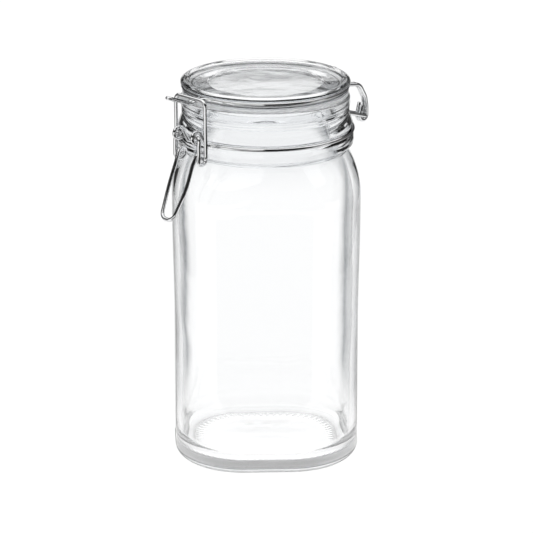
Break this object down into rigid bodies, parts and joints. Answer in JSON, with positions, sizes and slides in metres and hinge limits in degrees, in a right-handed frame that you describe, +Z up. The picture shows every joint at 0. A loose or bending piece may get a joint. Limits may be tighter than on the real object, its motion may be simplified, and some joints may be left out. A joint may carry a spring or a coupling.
{
  "type": "bail clamp jar",
  "caption": "Square glass storage jar with a round neck, a hinged glass lid on a wire, a sealing ring, and a wire lever and clasp that pull the lid shut.",
  "frame": {"origin": "centre of the jar's flat base", "axes": "+Z up; the square body's flat sides face along X and Y; the clamp is beside the (-X, -Y) corner and the hinge beside the (+X, +Y) corner, in a plane turned 4.5 degrees off the body's diagonal towards X"},
  "size_m": [0.1201, 0.105, 0.2184],
  "materials": {
    "jar_glass": "clear moulded glass, polished, faintly wavy",
    "lid_glass": "clear moulded glass, polished",
    "seal": "translucent satin silicone",
    "bail_wire": "bright drawn stainless wire"
  },
  "bodies": {
    "jar": {"jar_body": "jar_glass", "neck_wire": "bail_wire"},
    "lid": {"lid": "lid_glass", "gasket": "seal", "lid_wire": "bail_wire"},
    "lever": {"lever": "bail_wire"},
    "clasp": {"clasp": "bail_wire"}
  },
  "joints": [
    {"name": "lid_hinge", "type": "hinge", "parent": "jar", "child": "lid", "pos_m": [0.05703, 0.04871, 0.1812], "axis": [-0.6494, 0.7604, 0], "range_deg": [0, 225]},
    {"name": "lever_lift", "type": "hinge", "parent": "jar", "child": "lever", "pos_m": [-0.04403, -0.0376, 0.194], "axis": [-0.6494, 0.7604, 0], "range_deg": [0, 120]},
    {"name": "clasp_swing", "type": "hinge", "parent": "lever", "child": "clasp", "pos_m": [-0.04205, -0.03591, 0.1818], "axis": [-0.6494, 0.7604, 0], "range_deg": [-82, 0]}
  ],
  "couplings": [
    {"joint": "clasp_swing", "follows": "lever_lift", "ratio": -0.68}
  ]
}
